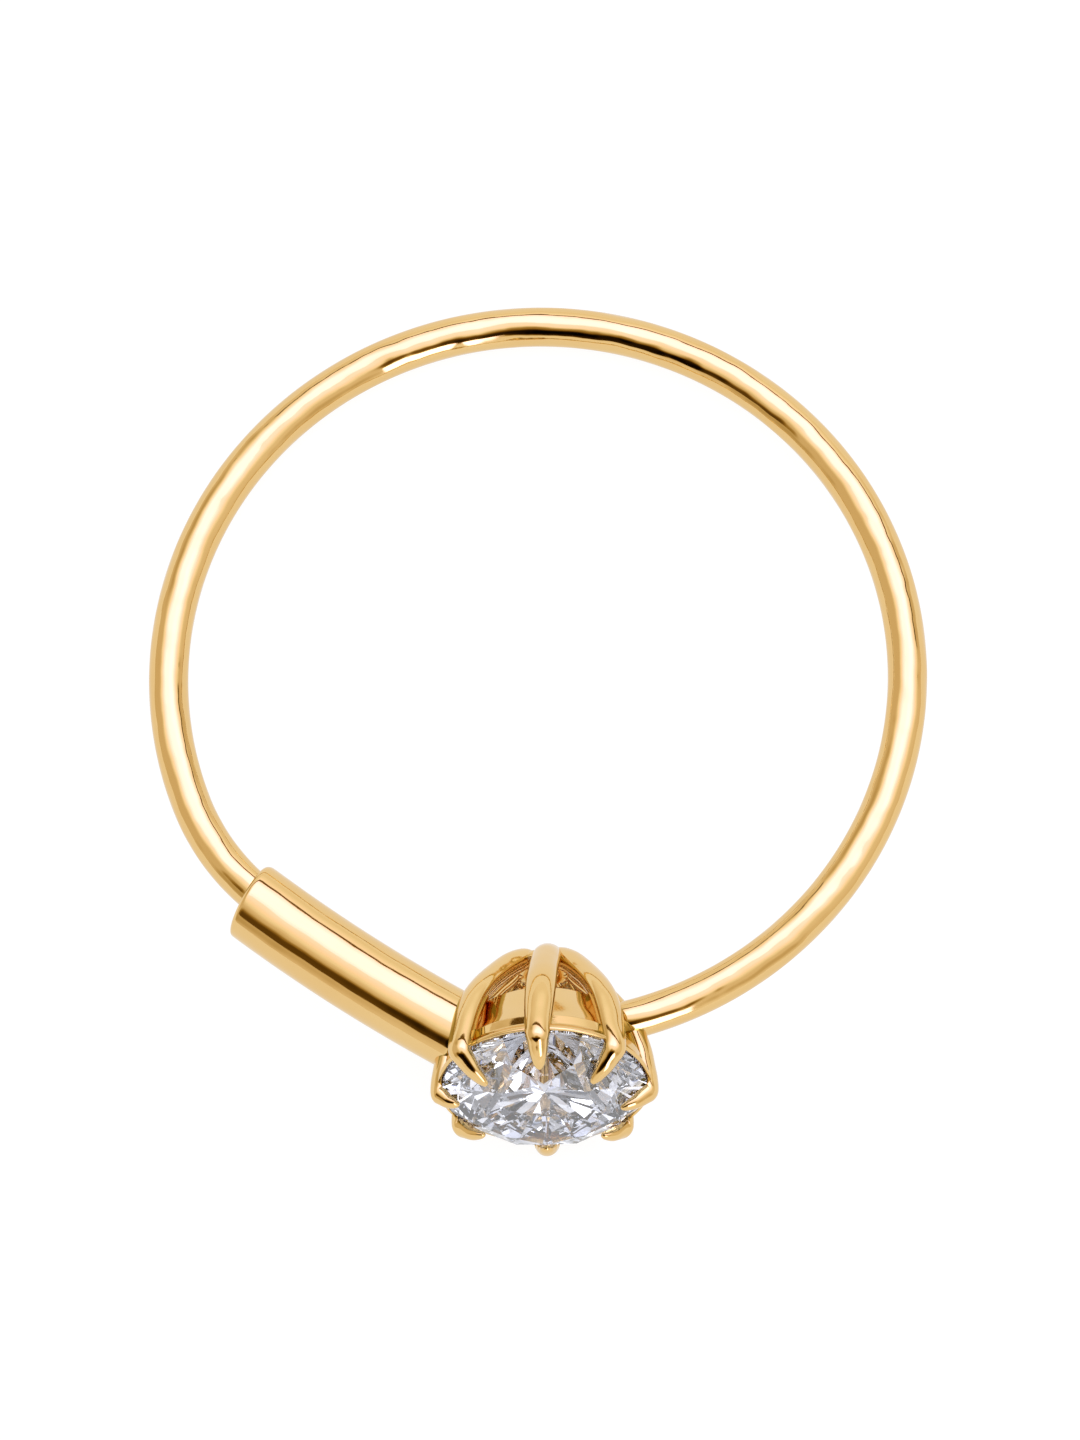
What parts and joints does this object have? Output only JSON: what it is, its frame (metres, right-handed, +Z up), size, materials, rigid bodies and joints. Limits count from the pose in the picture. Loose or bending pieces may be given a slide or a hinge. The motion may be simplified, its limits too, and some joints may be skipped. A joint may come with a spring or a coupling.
{
  "type": "nose ring",
  "caption": "Sprung wire hoop that closes into a tube catch beside a round clear stone in a claw setting, lying on its back.",
  "frame": {"origin": "centre of the bounding box's underside, on the surface that the ring lies on", "axes": "+Z up; +Y from the stone across the hoop to its far side; +X to the right, seen from above with the stone nearest"},
  "size_m": [0.0128, 0.0144, 0.0037],
  "materials": {
    "gold": "polished yellow gold",
    "clear_stone": "polished colourless facets"
  },
  "bodies": {
    "root": {"hoop": "gold", "stone": "clear_stone"}
  },
  "joints": []
}
